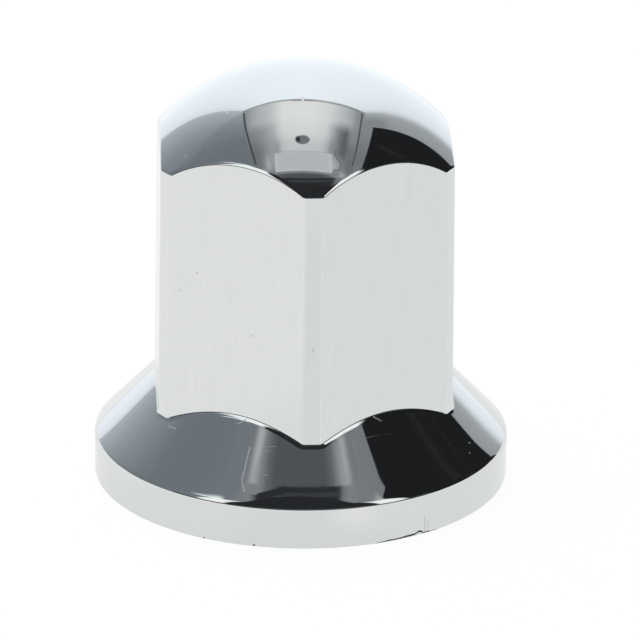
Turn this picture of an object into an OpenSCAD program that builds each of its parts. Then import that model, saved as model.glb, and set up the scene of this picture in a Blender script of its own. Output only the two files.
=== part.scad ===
// Push-on cover for a hexagonal wheel nut, pressed from one piece of sheet.
// A ball-shaped crown closes a hexagonal column, which grips the flats of the nut.
// The column opens into a conical flange that ends in a plain upright rim.
// Millimetres. The rim stands on Z = 0, the axis is Z and one corner faces -Y.

/* [Sheet] */
// Thickness of the sheet
wall = 0.8; // [0.6:0.05:1.1]

/* [Hexagonal column] */
// Width across the flats of the wheel nut that the cover grips
nut_af = 33; // [27:0.5:36]
// Height at which the inside of the column is exactly as wide as the nut
grip_h = 25; // [18:0.5:32]
// Lean of each flat towards the axis, in degrees
draft = 0.8; // [0.2:0.1:1.5]
// Width of the narrow flat along each upright corner
corner_flat = 1.5; // [0.5:0.1:3]
// Outside radius of the two roundings beside that narrow flat
corner_r = 1.2; // [1:0.1:3]

/* [Crown] */
// Overall height of the cover
cover_h = 50.65; // [42:0.05:62]
// Radius of the ball that the crown is part of
crown_r = 23.6; // [22:0.05:28]
// Rounding where a flat turns into the crown
crown_edge_r = 0.8; // [0.3:0.05:0.8]

/* [Flange and rim] */
// Outside diameter of the rim
rim_d = 50; // [45:0.5:60]
// Height of the upright rim, up to the sharp edge under its rounding
rim_h = 5.05; // [3:0.05:8]
// Slope of the flange, in degrees above level
flange_slope = 45.5; // [35:0.5:52]
// Rounding where the rim turns into the flange
rim_edge_r = 1.1; // [0.2:0.05:1.5]
// Rounding of the outer edge that the rim stands on
cut_edge_r = 0.15; // [0.05:0.05:0.25]
// Hollow rounding where the flange turns up into the column
foot_r = 1; // [0.6:0.1:1.8]

/* [Broken edge] */
// Azimuth of the deepest nick in the lower edge of the rim
nick_az = -59.9; // [-90:0.1:0]
// Depth of the broken stretch into the outside of the rim
nick_depth = 0.3; // [0.1:0.05:0.4]

/* [Hidden] */
$fn = 96;
sides = 6;
side_turn = 360 / sides;
first_corner = -90;
half_d = rim_d / 2;
ball_z = cover_h - crown_r;
lean = tan(draft);
corner_lean = atan(lean / cos(side_turn / 2));
// Outline of the broken stretch: distance along the rim from the nick, and height
BROKEN_EDGE = [
    [-6.2, -1],
    [-6.1, 0.08],
    [-4.9, 0.19],
    [-4.1, 0.27],
    [-2.9, 0.24],
    [-1.7, 0.36],
    [-0.65, 0.38],
    [-0.4, 0.52],
    [0, 0.6],
    [0.3, 0.5],
    [0.55, 0.19],
    [1, 0.26],
    [1.7, 0.11],
    [2.4, 0.16],
    [2.9, 0.05],
    [3, -1]
];
// Steps of the two roundings that follow all flats and corners of the column
flat_steps = 8;
corner_steps = 3;
arc_steps = 5;
// How far those roundings start inside, or outside, the skin that they blend
blend_lap = 0.02;

// Distance from the axis to a flat at height z, at the given depth in the sheet
function flat_x(z, depth) = nut_af / 2 + (wall - depth) / cos(draft) + lean * (grip_h - z);
// The same, to the centre lines of the roundings beside it
function core_x(z) = flat_x(z, corner_r);
// Distance from the axis to the narrow flat along a corner
function corner_x(z, depth) =
    let (core = core_x(z) / cos(side_turn / 2) - corner_flat / 2 * tan(side_turn / 2))
    core + (corner_r - depth) / cos(corner_lean);
// Height of the flange at distance r from the axis
function flange_z(r, depth) = rim_h + (half_d - r) * tan(flange_slope) - depth / cos(flange_slope);

// Level unit vector, and the unit normal of a leaning flat, towards an azimuth
function level(az) = [cos(az), sin(az), 0];
function facing(az) = cos(draft) * level(az) + [0, 0, sin(draft)];

// An upright line on the skin of the column: [point on it, rise, outward normal].
// On flat i, across runs from -1 at one corner rounding to 1 at the next.
function flat_line(i, across, depth) =
    let (
        az = first_corner + (i + 0.5) * side_turn,
        aside = across * level(az + 90),
        half_run = core_x(0) * tan(side_turn / 2) - corner_flat / 2 / cos(side_turn / 2)
    )
    [
        flat_x(0, depth) * level(az) + half_run * aside,
        [0, 0, 1] - lean * (level(az) + tan(side_turn / 2) * aside),
        facing(az)
    ];
// On one side of corner i, -1 or 1, part runs from 0 at the narrow flat to 1 at the next flat
function corner_line(i, side, part, depth) =
    let (
        az = first_corner + i * side_turn,
        outward = level(az) / cos(side_turn / 2),
        core = core_x(0) * outward - corner_flat / 2 * tan(side_turn / 2) * level(az),
        normal = facing(az + side * part * side_turn / 2)
    )
    [
        core + side * corner_flat / 2 * level(az + 90) + (corner_r - depth) * normal,
        [0, 0, 1] - lean * outward,
        normal
    ];
// All those lines, round the column
function skin_lines(depth) = [
    for (i = [0 : sides - 1]) each [
        for (k = [corner_steps : -1 : 0]) corner_line(i, -1, k / corner_steps, depth),
        for (k = [0 : corner_steps]) corner_line(i, 1, k / corner_steps, depth),
        for (k = [1 : flat_steps - 1]) flat_line(i, 2 * k / flat_steps - 1, depth)
    ]
];

// Where a ball's centre, which starts at p and moves along rise, is r from the crown's centre
function centre_under_crown(p, rise, r) =
    let (
        a = p - [0, 0, ball_z],
        b = a * rise,
        c = rise * rise
    )
    p + rise * (sqrt(b ^ 2 - c * (a * a - r ^ 2)) - b) / c;
// Where such a centre is at height gap, measured square to the slope, over the flange
function centre_over_flange(p, rise, gap) =
    let (
        run = 1 / tan(flange_slope),
        reach = half_d + (rim_h + gap / cos(flange_slope) - p.z) * run,
        a = rise.x ^ 2 + rise.y ^ 2 - run ^ 2,
        b = p.x * rise.x + p.y * rise.y + reach * run,
        c = p.x ^ 2 + p.y ^ 2 - reach ^ 2
    )
    p + rise * (sqrt(b ^ 2 - a * c) - b) / a;

// Unit vector part of the way from unit vector a to unit vector b
function between(a, b, part) =
    let (turn = acos(a * b))
    (sin((1 - part) * turn) * a + sin(part * turn) * b) / sin(turn);
// Section of a rounding by a ball that touches two skins in directions a and b:
// an arc that starts and ends just past the skins, and a point beyond their edge
function blend_section(centre, r, a, b) = [
    for (k = [0 : arc_steps])
        centre + (r + (k == 0 || k == arc_steps ? sign(r) * blend_lap : 0)) * between(a, b, k / arc_steps),
    centre + 1.3 * r * (a + b) / (1 + a * b)
];

// Sections of the rounding between the flats and the crown
function crown_edge_sections(depth) =
    let (r = crown_edge_r - depth, centre_r = crown_r - crown_edge_r)
    [
        for (line = skin_lines(depth))
            let (centre = centre_under_crown(line[0] - r * line[2], line[1], centre_r))
            blend_section(centre, r, line[2], (centre - [0, 0, ball_z]) / centre_r)
    ];
// Sections of the hollow rounding between the flats and the flange
function foot_sections(depth) =
    let (r = foot_r + depth)
    [
        for (line = skin_lines(depth))
            let (
                centre = centre_over_flange(line[0] + r * line[2], line[1], foot_r),
                az = atan2(centre.y, centre.x),
                up_slope = sin(flange_slope) * level(az) + [0, 0, cos(flange_slope)]
            )
            blend_section(centre, -r, line[2], up_slope)
    ];

// Closed ring through a list of sections
module ring(sections) {
    count = len(sections);
    size = len(sections[0]);
    polyhedron(
        points = [for (section = sections) each section],
        faces = [
            for (i = [0 : count - 1])
                for (k = [0 : size - 1])
                    let (
                        a = i * size + k,
                        b = i * size + (k + 1) % size,
                        c = (i + 1) % count * size + (k + 1) % size,
                        d = (i + 1) % count * size + k
                    )
                    each [[a, c, b], [a, d, c]]
        ]
    );
}

// What two lines that turn by an angle leave outside the circle that they touch
module tip(turn, r) {
    reach = 3 * r;
    difference() {
        polygon([
            [0, 0],
            reach * [cos(turn / 2), -sin(turn / 2)],
            reach * [cos(turn / 2), sin(turn / 2)]
        ]);
        circle(r);
    }
}

// Bar with two leaning flats, as far from the axis as given at its foot and at its top
module leaning_bar(foot_x, top_x) {
    rotate([90, 0, 0])
        linear_extrude(height = rim_d, center = true)
            polygon([[-foot_x, 0], [foot_x, 0], [top_x, cover_h], [-top_x, cover_h]]);
}

// Slivers that come off on each side of one upright corner to round it
module corner_tips(depth) {
    turn = acos(cos(draft) ^ 2 * cos(side_turn) + sin(draft) ^ 2) / 2;
    core = corner_x(grip_h, depth) - (corner_r - depth) / cos(corner_lean);
    for (side = [-1, 1]) {
        translate([core, side * corner_flat / 2, grip_h])
            rotate([0, -corner_lean, 0])
                rotate([0, 0, side * turn / 2])
                    linear_extrude(height = 3 * cover_h, center = true)
                        tip(turn, corner_r - depth);
    }
}

// Hexagonal column with softened corners, closed by the crown
module column(depth) {
    difference() {
        intersection() {
            intersection_for (i = [0 : sides / 2 - 1]) {
                rotate([0, 0, i * side_turn])
                    leaning_bar(flat_x(0, depth), flat_x(cover_h, depth));
            }
            intersection_for (i = [0 : sides / 2 - 1]) {
                rotate([0, 0, first_corner + i * side_turn])
                    leaning_bar(corner_x(0, depth), corner_x(cover_h, depth));
            }
            union() {
                translate([0, 0, ball_z])
                    sphere(crown_r - depth);
                translate([0, 0, ball_z / 2])
                    cube([rim_d, rim_d, ball_z], center = true);
            }
        }
        for (i = [0 : sides - 1]) {
            rotate([0, 0, first_corner + i * side_turn])
                corner_tips(depth);
        }
        if (crown_edge_r > depth) {
            ring(crown_edge_sections(depth));
        }
    }
}

// Turned flange: upright rim and cone, with their edges rounded
module flange(depth) {
    rim_x = half_d - depth;
    top_x = nut_af / 4;
    edge_x = half_d - rim_edge_r;
    edge_turn = 90 - flange_slope;
    rotate_extrude()
        difference() {
            polygon([
                [0, -depth],
                [rim_x, -depth],
                [rim_x, flange_z(rim_x, depth)],
                [top_x, flange_z(top_x, depth)],
                [0, flange_z(top_x, depth)]
            ]);
            if (rim_edge_r > depth) {
                translate([edge_x, flange_z(edge_x, rim_edge_r)])
                    rotate(edge_turn / 2)
                        tip(edge_turn, rim_edge_r - depth);
            }
            if (depth == 0) {
                translate([half_d - cut_edge_r, cut_edge_r])
                    rotate(-45)
                        tip(90, cut_edge_r);
            }
        }
}

// Everything inside the skin that lies at the given depth in the sheet
module inside_skin(depth) {
    column(depth);
    flange(depth);
    ring(foot_sections(depth));
}

// Stretch of the lower edge where the outer face of the rim has broken away
module broken_edge() {
    rotate([0, 0, nick_az])
        difference() {
            rotate([90, 0, 90])
                linear_extrude(height = rim_d)
                    polygon(BROKEN_EDGE);
            cylinder(r = half_d - nick_depth, h = rim_h, center = true);
        }
}

module cover_shell() {
    color("gainsboro")
        difference() {
            inside_skin(0);
            inside_skin(wall);
            broken_edge();
        }
}

cover_shell();
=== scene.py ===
"""Looks of a push-on wheel nut cover: one pressed, mirror polished and plated steel shell.

The shell's skin is worked out from the same few sizes as the CAD solid: leaning flats and rounded
corners, a ball-shaped crown, a conical flange and an upright rim, blended by rolling-ball roundings.
It stands in a small white light tent, because a mirror finish looks like what surrounds it.
All lengths are metres.
"""

import logging
import math
from dataclasses import dataclass, field
from enum import Enum
from typing import Sequence

import bpy
import numpy as np
from bpy.types import Material, Node, NodeSocket, NodeTree, Object
from mathutils import Matrix, Vector


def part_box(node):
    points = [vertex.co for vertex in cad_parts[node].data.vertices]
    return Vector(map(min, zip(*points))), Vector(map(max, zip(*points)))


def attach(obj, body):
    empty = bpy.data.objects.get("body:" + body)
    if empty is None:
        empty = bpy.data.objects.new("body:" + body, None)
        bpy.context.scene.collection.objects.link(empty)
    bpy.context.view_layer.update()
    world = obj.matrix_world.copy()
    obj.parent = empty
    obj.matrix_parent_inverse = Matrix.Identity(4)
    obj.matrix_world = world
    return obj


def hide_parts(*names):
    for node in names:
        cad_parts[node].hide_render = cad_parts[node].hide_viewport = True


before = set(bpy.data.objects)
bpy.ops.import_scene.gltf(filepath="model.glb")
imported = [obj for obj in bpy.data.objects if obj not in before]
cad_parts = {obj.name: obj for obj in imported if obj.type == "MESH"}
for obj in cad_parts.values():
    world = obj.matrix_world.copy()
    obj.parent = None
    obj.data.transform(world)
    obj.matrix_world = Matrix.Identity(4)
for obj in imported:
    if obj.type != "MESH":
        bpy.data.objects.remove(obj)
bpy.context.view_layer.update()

LOG = logging.getLogger("nut_cover")
MM = 0.001
SHELL_NODE = "cover_shell"
RANDOM_SEED = 7
LEAST_TURN = 1e-9
NO_NORMAL = (0.0, 0.0, 0.0)


class ShellFinish(Enum):
    """Finishes of the shell, in the order of its mesh's material slots."""

    MIRROR = 0
    FLATS = 1
    INSIDE = 2
    TORN = 3


# ---------------------------------------------------------------------------- shape of the shell


@dataclass
class SkinLines:
    """Upright lines side by side round the column, each with one outward normal."""

    point: np.ndarray
    rise: np.ndarray
    normal: np.ndarray


@dataclass
class Band:
    """Rows of a skin grid: points and normals from one edge of a surface to the other."""

    points: np.ndarray
    normals: np.ndarray
    finish: ShellFinish
    torn: np.ndarray | None = None

    def finishes(self, row: int) -> list[ShellFinish]:
        """Finish of each face between a row and the one before it.

        Args:
            row: Number of the upper of the two rows.

        Returns:
            The finishes, one a face.
        """
        if self.torn is None:
            return [self.finish] * self.points.shape[1]
        return [ShellFinish.TORN if torn else self.finish for torn in self.torn[row - 1]]


def level(azimuth: np.ndarray) -> np.ndarray:
    """Level unit vectors towards an array of azimuths in radians."""
    return np.stack([np.cos(azimuth), np.sin(azimuth), np.zeros_like(azimuth)], axis=-1)


def turn_between(start: np.ndarray, end: np.ndarray, share: float) -> np.ndarray:
    """Unit vectors part of the way from one set of unit vectors to another.

    Args:
        start: Unit vectors, one a row.
        end: Unit vectors, one a row.
        share: How far along the turn, from 0 to 1.

    Returns:
        Unit vectors, one a row.
    """
    turn = np.arccos(np.clip((start * end).sum(axis=1), -1, 1))[:, None]
    turn = np.maximum(turn, LEAST_TURN)
    return (np.sin((1 - share) * turn) * start + np.sin(share * turn) * end) / np.sin(turn)


@dataclass
class BrokenEdge:
    """Stretch of the rim's lower edge where the outer face has cracked; its outline is in millimetres."""

    azimuth: float = math.radians(-59.9)
    outline: tuple[tuple[float, float], ...] = (
        (-6.1, 0.08), (-4.9, 0.19), (-4.1, 0.27), (-2.9, 0.24), (-1.7, 0.36), (-0.65, 0.38), (-0.4, 0.52),
        (0.0, 0.6), (0.3, 0.5), (0.55, 0.19), (1.0, 0.26), (1.7, 0.11), (2.4, 0.16), (2.9, 0.08),
    )
    raggedness: float = 0.03 * MM
    crack_depth: float = 0.25 * MM
    crack_drop: float = 0.25 * MM
    lip_share: float = 0.3
    lip_rise: float = 0.35
    lip_inset: float = 0.06 * MM
    torn_rows: tuple[int, ...] = (2, 3)
    step: float = 0.11 * MM

    def heights(self, azimuth: np.ndarray, radius: float) -> np.ndarray:
        """Height of the broken edge at each azimuth.

        Args:
            azimuth: Azimuths in radians.
            radius: Outside radius of the rim.

        Returns:
            Heights above the foot of the rim, zero where it is whole.
        """
        along, high = np.array(self.outline).T * MM
        heights = np.interp(radius * np.sin(azimuth - self.azimuth), along, high, left=0, right=0)
        jitter = np.random.default_rng(RANDOM_SEED).normal(0, self.raggedness, len(azimuth))
        return np.where(heights > 0, heights + jitter, 0) * (np.cos(azimuth - self.azimuth) > 0)


@dataclass(frozen=True)
class SkinSteps:
    """Numbers of steps up the bands of a skin."""

    rim: int = 8
    rim_edge: int = 10
    flange: int = 12
    foot: int = 10
    column: int = 16
    crown_edge: int = 8
    crown: int = 28


@dataclass
class CoverShell:
    """The whole cover: crown, column, flange and rim drawn from one sheet."""

    rim_radius: float
    height: float
    wall: float = 0.8 * MM
    nut_half: float = 16.5 * MM
    grip_height: float = 25 * MM
    draft: float = math.radians(0.8)
    corner_flat: float = 1.5 * MM
    corner_radius: float = 1.2 * MM
    crown_radius: float = 23.6 * MM
    crown_edge: float = 0.8 * MM
    rim_height: float = 5.05 * MM
    flange_slope: float = math.radians(45.5)
    rim_edge: float = 1.1 * MM
    worn_width: float = 3.1 * MM
    worn_turn: float = math.radians(2.8)
    cut_edge: float = 0.15 * MM
    foot: float = 1.0 * MM
    sides: int = 6
    first_corner: float = math.radians(-90)
    corner_steps: int = 6
    flat_steps: int = 22
    clear_share: float = 0.02
    foot_steps: int = 4
    worn_steps: int = 12
    outer_steps: SkinSteps = SkinSteps()
    inner_steps: SkinSteps = SkinSteps(rim=4, rim_edge=3, flange=10, foot=8, column=12, crown=20)
    broken: BrokenEdge = field(default_factory=BrokenEdge)

    @property
    def side_turn(self) -> float:
        """Angle from one flat to the next."""
        return 2 * math.pi / self.sides

    @property
    def ball_height(self) -> float:
        """Height of the centre of the crown's ball."""
        return self.height - self.crown_radius

    def flat_distance(self, height: float, depth: float) -> float:
        """Distance from the axis to a flat, at a height and a depth in the sheet."""
        lean = math.tan(self.draft) * (self.grip_height - height)
        return self.nut_half + (self.wall - depth) / math.cos(self.draft) + lean

    def half_run(self, height: float) -> float:
        """Half the width of a flat at a height, between the roundings of its corners.

        Args:
            height: Height at which the flat is measured.

        Returns:
            The length in metres.
        """
        half_turn = self.side_turn / 2
        core = self.flat_distance(height, self.corner_radius)
        return core * math.tan(half_turn) - self.corner_flat / 2 / math.cos(half_turn)

    def facing(self, azimuth: np.ndarray) -> np.ndarray:
        """Unit normals of leaning flats towards an array of azimuths."""
        up = np.array([0, 0, math.sin(self.draft)])
        return math.cos(self.draft) * level(azimuth) + up

    def flat_shares(self, side: int) -> np.ndarray:
        """Places of the lines across one flat, from -1 at one corner to 1 at the next.

        Args:
            side: Which flat.

        Returns:
            Shares between -1 and 1, closer together over the broken edge.
        """
        shares = np.linspace(-1, 1, self.flat_steps + 1)[1:-1]
        middle = self.first_corner + (side + 0.5) * self.side_turn
        broken = self.broken
        if abs(broken.azimuth - middle) > self.side_turn / 2:
            return shares
        first, last = broken.outline[0][0] * MM, broken.outline[-1][0] * MM
        spots = np.arange(first - broken.step, last + 2 * broken.step, broken.step)
        azimuths = broken.azimuth + np.arcsin(spots / self.rim_radius) - middle
        height = 0.5 * self.grip_height
        fine = np.tan(azimuths) * self.flat_distance(height, 0) / self.half_run(height)
        coarse = shares[(shares < fine.min() - self.clear_share) | (shares > fine.max() + self.clear_share)]
        return np.sort(np.concatenate([coarse, fine]))

    def skin_lines(self, depth: float) -> SkinLines:
        """All upright lines of the column's skin, round from the first corner.

        Args:
            depth: Depth in the sheet, zero for the outer skin.

        Returns:
            The lines, each with its rise for one metre of height.
        """
        points, rises, normals = [], [], []
        lean, half_turn = math.tan(self.draft), self.side_turn / 2
        core = self.flat_distance(0, self.corner_radius)
        half_flat, half_run = self.corner_flat / 2, self.half_run(0)
        up = np.array([0, 0, 1.0])
        turns = np.linspace(0, 1, self.corner_steps + 1) * half_turn
        turns = np.concatenate([-turns[::-1], turns])
        aside_steps = np.repeat([-half_flat, half_flat], self.corner_steps + 1)[:, None]
        for side in range(self.sides):
            corner = np.full(len(turns), self.first_corner + side * self.side_turn)
            outward = level(corner) / math.cos(half_turn)
            centre = core * outward - half_flat * math.tan(half_turn) * level(corner)
            centre = centre + aside_steps * level(corner + math.pi / 2)
            normal = self.facing(corner + turns)
            points.append(centre + (self.corner_radius - depth) * normal)
            rises.append(up - lean * outward)
            normals.append(normal)
            shares = self.flat_shares(side)
            middle = np.full(len(shares), self.first_corner + (side + 0.5) * self.side_turn)
            aside = shares[:, None] * level(middle + math.pi / 2)
            points.append(self.flat_distance(0, depth) * level(middle) + half_run * aside)
            rises.append(up - lean * (level(middle) + math.tan(half_turn) * aside))
            normals.append(self.facing(middle))
        return SkinLines(np.concatenate(points), np.concatenate(rises), np.concatenate(normals))

    def centres_under_crown(self, lines: SkinLines, inset: float, radius: float) -> np.ndarray:
        """Where lines set in from the skin meet a ball round the crown's centre.

        Args:
            lines: Lines of the skin.
            inset: How far the lines are moved in.
            radius: Radius of that ball.

        Returns:
            One point for each line.
        """
        start = lines.point - inset * lines.normal
        offset = start - np.array([0, 0, self.ball_height])
        a = (lines.rise**2).sum(axis=1)
        b = (offset * lines.rise).sum(axis=1)
        c = (offset**2).sum(axis=1) - radius**2
        return start + lines.rise * ((np.sqrt(b**2 - a * c) - b) / a)[:, None]

    def centres_over_flange(self, lines: SkinLines, outset: float, gap: float) -> np.ndarray:
        """Where lines set out from the skin are a given gap above the flange's slope.

        Args:
            lines: Lines of the skin.
            outset: How far the lines are moved out.
            gap: Distance square to the slope.

        Returns:
            One point for each line.
        """
        start = lines.point + outset * lines.normal
        run = 1 / math.tan(self.flange_slope)
        rim = self.rim_height + gap / math.cos(self.flange_slope)
        reach = self.rim_radius + (rim - start[:, 2]) * run
        a = (lines.rise[:, :2] ** 2).sum(axis=1) - run**2
        b = (start[:, :2] * lines.rise[:, :2]).sum(axis=1) + reach * run
        c = (start[:, :2] ** 2).sum(axis=1) - reach**2
        return start + lines.rise * ((np.sqrt(b**2 - a * c) - b) / a)[:, None]

    @staticmethod
    def straight(start: np.ndarray, end: np.ndarray, normals: np.ndarray, steps: int,
                 finish: ShellFinish) -> Band:
        """Band of straight lines from one row of points to another.

        Args:
            start: First row of points.
            end: Last row of points.
            normals: Normal along each line.
            steps: Number of steps.
            finish: Finish of the band.

        Returns:
            The band, with both rows in it.
        """
        shares = np.linspace(0, 1, steps + 1)
        points = np.stack([start + share * (end - start) for share in shares])
        return Band(points, np.repeat(normals[None], steps + 1, axis=0), finish)

    @staticmethod
    def arc(centres: np.ndarray, radius: float, start: np.ndarray, end: np.ndarray, steps: int,
            finish: ShellFinish, shown_end: np.ndarray | None = None) -> Band:
        """Band rolled by a ball, with the normals along the ball's radii.

        Args:
            centres: Centre of the ball at each line.
            radius: Radius of the ball, negative where the rounding is hollow.
            start: Normals where the band starts.
            end: Normals where the band ends.
            steps: Number of steps.
            finish: Finish of the band.
            shown_end: Normals that the polish shows at the end, where they differ.

        Returns:
            The band, with both rows in it.
        """
        normals = np.stack([turn_between(start, end, k / steps) for k in range(steps + 1)])
        points = centres + radius * normals
        if shown_end is not None:
            normals = np.stack([turn_between(start, shown_end, k / steps) for k in range(steps + 1)])
        return Band(points, normals, finish)

    def foot_band(self, azimuth: np.ndarray) -> Band:
        """Lower edge of the rim: a small rounding, or the crack where the edge is broken.

        Args:
            azimuth: Azimuth of each line at the rim.

        Returns:
            The band, from the underside of the rim up to its outer face.
        """
        outward, steps = level(azimuth), self.foot_steps
        down = np.tile([0.0, 0.0, -1.0], (len(azimuth), 1))
        centres = (self.rim_radius - self.cut_edge) * outward - self.cut_edge * down
        band = self.arc(centres, self.cut_edge, down, outward, steps, ShellFinish.MIRROR)
        broken = self.broken
        heights = broken.heights(azimuth, self.rim_radius)[:, None]
        lip_top = np.maximum(heights - broken.crack_drop, broken.lip_share * heights)
        sections = (
            (2 * broken.lip_inset, 0 * heights),
            (broken.lip_inset, broken.lip_rise * lip_top),
            (broken.lip_inset, lip_top),
            (broken.crack_depth, 0.5 * (lip_top + heights)),
            (0.0, heights),
        )
        up = np.array([0, 0, 1.0])
        cracked = heights > self.cut_edge / 2
        for row, (inset, high) in enumerate(sections):
            broken_row = (self.rim_radius - inset) * outward + high * up
            band.points[row] = np.where(cracked, broken_row, band.points[row])
        open_here = (cracked & np.roll(cracked, -1, axis=0))[:, 0]
        band.torn = np.array([open_here & (row in broken.torn_rows) for row in range(steps)])
        return band

    def turned_down(self, outward: np.ndarray, turn: float) -> np.ndarray:
        """Normals of the flange, turned down by an angle where the polish has worn its edge."""
        angle = self.flange_slope + turn
        return math.sin(angle) * outward + np.array([0, 0, math.cos(angle)])

    def rim_edge_centres(self, outward: np.ndarray) -> np.ndarray:
        """Centres of the rounding between the rim and the flange.

        Args:
            outward: Level unit vector of each line.

        Returns:
            One point for each line.
        """
        centres = (self.rim_radius - self.rim_edge) * outward
        centres[:, 2] = self.rim_height - self.rim_edge / math.cos(self.flange_slope)
        centres[:, 2] += self.rim_edge * math.tan(self.flange_slope)
        return centres

    def worn_band(self, low: np.ndarray, outward: np.ndarray) -> Band:
        """Lowest part of the flange, where the worn polish shows normals that are turned down.

        Args:
            low: Lower end of each line of the flange.
            outward: Level unit vector of each line.

        Returns:
            The band, from the rim's edge up the flange.
        """
        uphill = -math.cos(self.flange_slope) * outward + [0, 0, math.sin(self.flange_slope)]
        shares = np.linspace(0, 1, self.worn_steps + 1)
        points = np.array([low + share * self.worn_width * uphill for share in shares])
        normals = [self.turned_down(outward, (1 - share) ** 2 * self.worn_turn) for share in shares]
        return Band(points, np.array(normals), ShellFinish.MIRROR)

    def skin_bands(self, depth: float, steps: SkinSteps, finish: ShellFinish,
                   flats: ShellFinish) -> list[Band]:
        """Bands of one skin, from the foot of the rim up to the crown.

        Args:
            depth: Depth in the sheet, zero for the outer skin.
            steps: Numbers of steps.
            finish: Finish of the skin.
            flats: Finish of the column's flats.

        Returns:
            The bands in order, each starting where the one before ends.
        """
        outer = depth == 0
        lines = self.skin_lines(depth)
        bend, foot_radius, inset = self.rim_edge - depth, self.foot + depth, max(self.crown_edge, depth)
        foot = self.centres_over_flange(lines, foot_radius, self.foot)
        azimuth = np.arctan2(foot[:, 1], foot[:, 0])
        outward = level(azimuth)
        slope = self.turned_down(outward, 0)
        under = self.centres_under_crown(lines, inset - depth, self.crown_radius - inset)
        ball = np.array([0, 0, self.ball_height])
        off_ball = (under - ball) / (self.crown_radius - inset)
        pole = np.tile([0.0, 0.0, 1.0], (len(azimuth), 1))
        edge = self.rim_edge_centres(outward)
        first, worn = [], []
        start, low, shown = (self.rim_radius - depth) * outward, edge + bend * slope, None
        if outer:
            first, worn = [self.foot_band(azimuth)], [self.worn_band(low, outward)]
            start, low, shown = first[0].points[-1], worn[0].points[-1], worn[0].normals[0]
        bands = [
            *first,
            self.straight(start, edge + bend * outward, outward, steps.rim, finish),
            self.arc(edge, bend, outward, slope, steps.rim_edge, finish, shown),
            *worn,
            self.straight(low, foot - foot_radius * slope, slope, steps.flange, finish),
            self.arc(foot, -foot_radius, slope, lines.normal, steps.foot, finish),
            self.straight(foot - foot_radius * lines.normal, under + (inset - depth) * lines.normal,
                          lines.normal, steps.column, flats),
        ]
        if outer:
            bands.append(self.arc(under, inset, lines.normal, off_ball, steps.crown_edge, finish))
        bands.append(self.arc(ball, self.crown_radius - depth, off_ball, pole, steps.crown, finish))
        return bands

    def build(self) -> Object:
        """Builds the shell as one closed mesh with exact normals.

        Returns:
            The object, in the frame of the CAD model.
        """
        outer = self.skin_bands(0, self.outer_steps, ShellFinish.MIRROR, ShellFinish.FLATS)
        inner = self.skin_bands(self.wall, self.inner_steps, ShellFinish.INSIDE, ShellFinish.INSIDE)
        for band in inner:
            band.normals = -band.normals
        grid = SkinGrid()
        bottom_out = grid.add_bands(outer, flip=False)
        bottom_in = grid.add_bands(inner, flip=True)
        down = np.tile([0.0, 0.0, -1.0], (len(bottom_in), 1))
        grid.add_strip(bottom_in, bottom_out, down, down, False, [ShellFinish.MIRROR] * len(down))
        return grid.to_object("nut_cover_shell")


class SkinGrid:
    """Collects grids of points, and turns them into one mesh with its own normals."""

    def __init__(self) -> None:
        """Starts an empty grid."""
        self.points: list[np.ndarray] = []
        self.faces: list[tuple[int, ...]] = []
        self.loop_normals: list[np.ndarray] = []
        self.finishes: list[int] = []
        self.count = 0

    def add_row(self, row: np.ndarray) -> np.ndarray:
        """Adds a row of points and gives their numbers.

        Args:
            row: The points.

        Returns:
            The points' numbers.
        """
        self.points.append(row)
        self.count += len(row)
        return np.arange(self.count - len(row), self.count)

    def add_face(self, corners: Sequence[int], normals: Sequence[np.ndarray], finish: ShellFinish) -> None:
        """Adds one face with a normal at each corner; no normal leaves a torn corner flat.

        Args:
            corners: Numbers of the face's points.
            normals: Normal at each corner.
            finish: Finish of the face.
        """
        torn = finish is ShellFinish.TORN
        self.faces.append(tuple(int(corner) for corner in corners))
        self.loop_normals.extend([NO_NORMAL] * len(corners) if torn else normals)
        self.finishes.append(finish.value)

    def add_bands(self, bands: Sequence[Band], flip: bool) -> np.ndarray:
        """Adds bands that follow each other, and closes the last one at its pole.

        Args:
            bands: The bands, from the foot of the rim to the pole.
            flip: True where the faces look into the hollow.

        Returns:
            The numbers of the first row's points.
        """
        first = previous = self.add_row(bands[0].points[0])
        for band in bands:
            last_band = band is bands[-1]
            for row in range(1, len(band.points)):
                lower, upper = band.normals[row - 1], band.normals[row]
                at_pole = last_band and row == len(band.points) - 1
                current = self.add_row(band.points[row][:1] if at_pole else band.points[row])
                self.add_strip(previous, current, lower, upper, flip, band.finishes(row))
                previous = current
        return first

    def add_strip(self, lower: np.ndarray, upper: np.ndarray, low_normals: np.ndarray,
                  high_normals: np.ndarray, flip: bool, finishes: Sequence[ShellFinish]) -> None:
        """Adds a strip of faces between two closed rows, three-sided where the upper is one point.

        Args:
            lower: Numbers of the lower row's points.
            upper: Numbers of the upper row's points.
            low_normals: Normals of the lower row.
            high_normals: Normals of the upper row.
            flip: True where the faces look into the hollow.
            finishes: Finish of each face.
        """
        count = len(lower)
        for k in range(count):
            n = (k + 1) % count
            over = (n, k) if len(upper) > 1 else (0,)
            corners = [lower[k], lower[n], *(upper[o] for o in over)]
            normals = [low_normals[k], low_normals[n], *(high_normals[o] for o in over)]
            if flip:
                corners.reverse()
                normals.reverse()
            self.add_face(corners, normals, finishes[k])

    def to_object(self, name: str) -> Object:
        """Makes the mesh and its object.

        Args:
            name: Name of the piece.

        Returns:
            The object, linked to the scene.
        """
        mesh = bpy.data.meshes.new(name)
        mesh.from_pydata(np.concatenate(self.points).tolist(), [], self.faces)
        mesh.polygons.foreach_set("use_smooth", [True] * len(self.faces))
        mesh.polygons.foreach_set("material_index", self.finishes)
        mesh.update()
        mesh.normals_split_custom_set([tuple(normal) for normal in self.loop_normals])
        piece = bpy.data.objects.new(name, mesh)
        bpy.context.scene.collection.objects.link(piece)
        return piece


# ---------------------------------------------------------------------------- finishes


Colour = tuple[float, float, float, float]


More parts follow.
